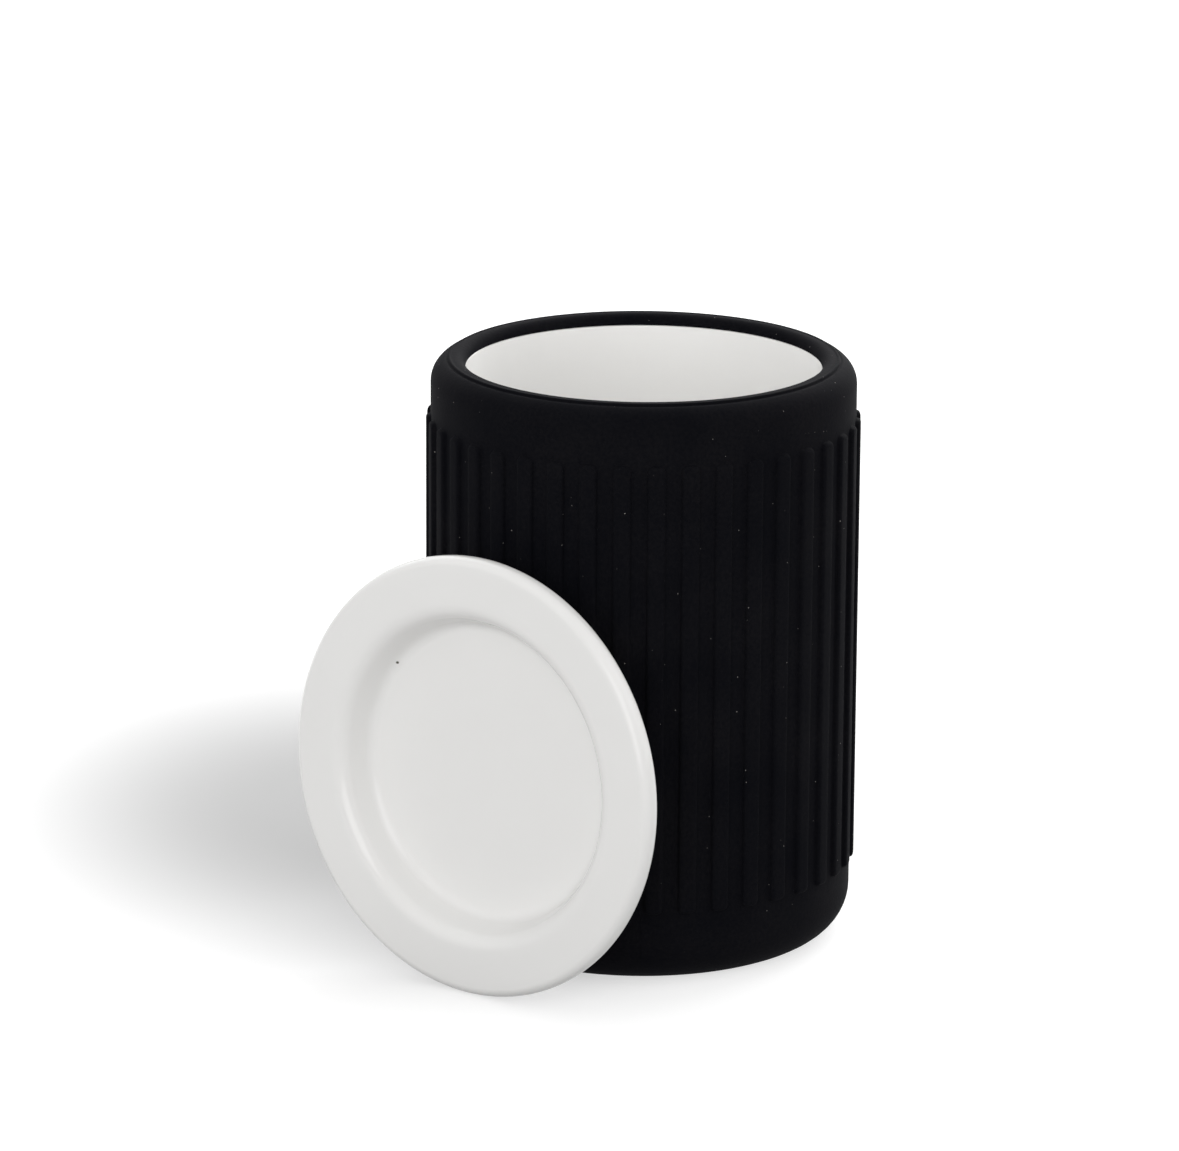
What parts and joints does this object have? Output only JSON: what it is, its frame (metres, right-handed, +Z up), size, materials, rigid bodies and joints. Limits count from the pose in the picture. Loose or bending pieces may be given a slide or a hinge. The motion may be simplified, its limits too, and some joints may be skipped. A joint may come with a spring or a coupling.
{
  "type": "porcelain storage jar",
  "caption": "White glazed porcelain jar in a matt black ribbed silicone sleeve, with its recessed porcelain lid off and leaning against the side.",
  "frame": {"origin": "on the jar's axis, at the base that it stands on", "axes": "+Z up along the jar's axis, towards its mouth; the lid leans on the -Y side, so +X is the jar's right as seen from the lid"},
  "size_m": [0.086, 0.099, 0.1157],
  "materials": {
    "porcelain": "smooth white glaze",
    "silicone": "matt black moulded silicone"
  },
  "bodies": {
    "root": {"porcelain_cup": "porcelain", "silicone_sleeve": "silicone", "porcelain_lid": "porcelain"}
  },
  "joints": []
}
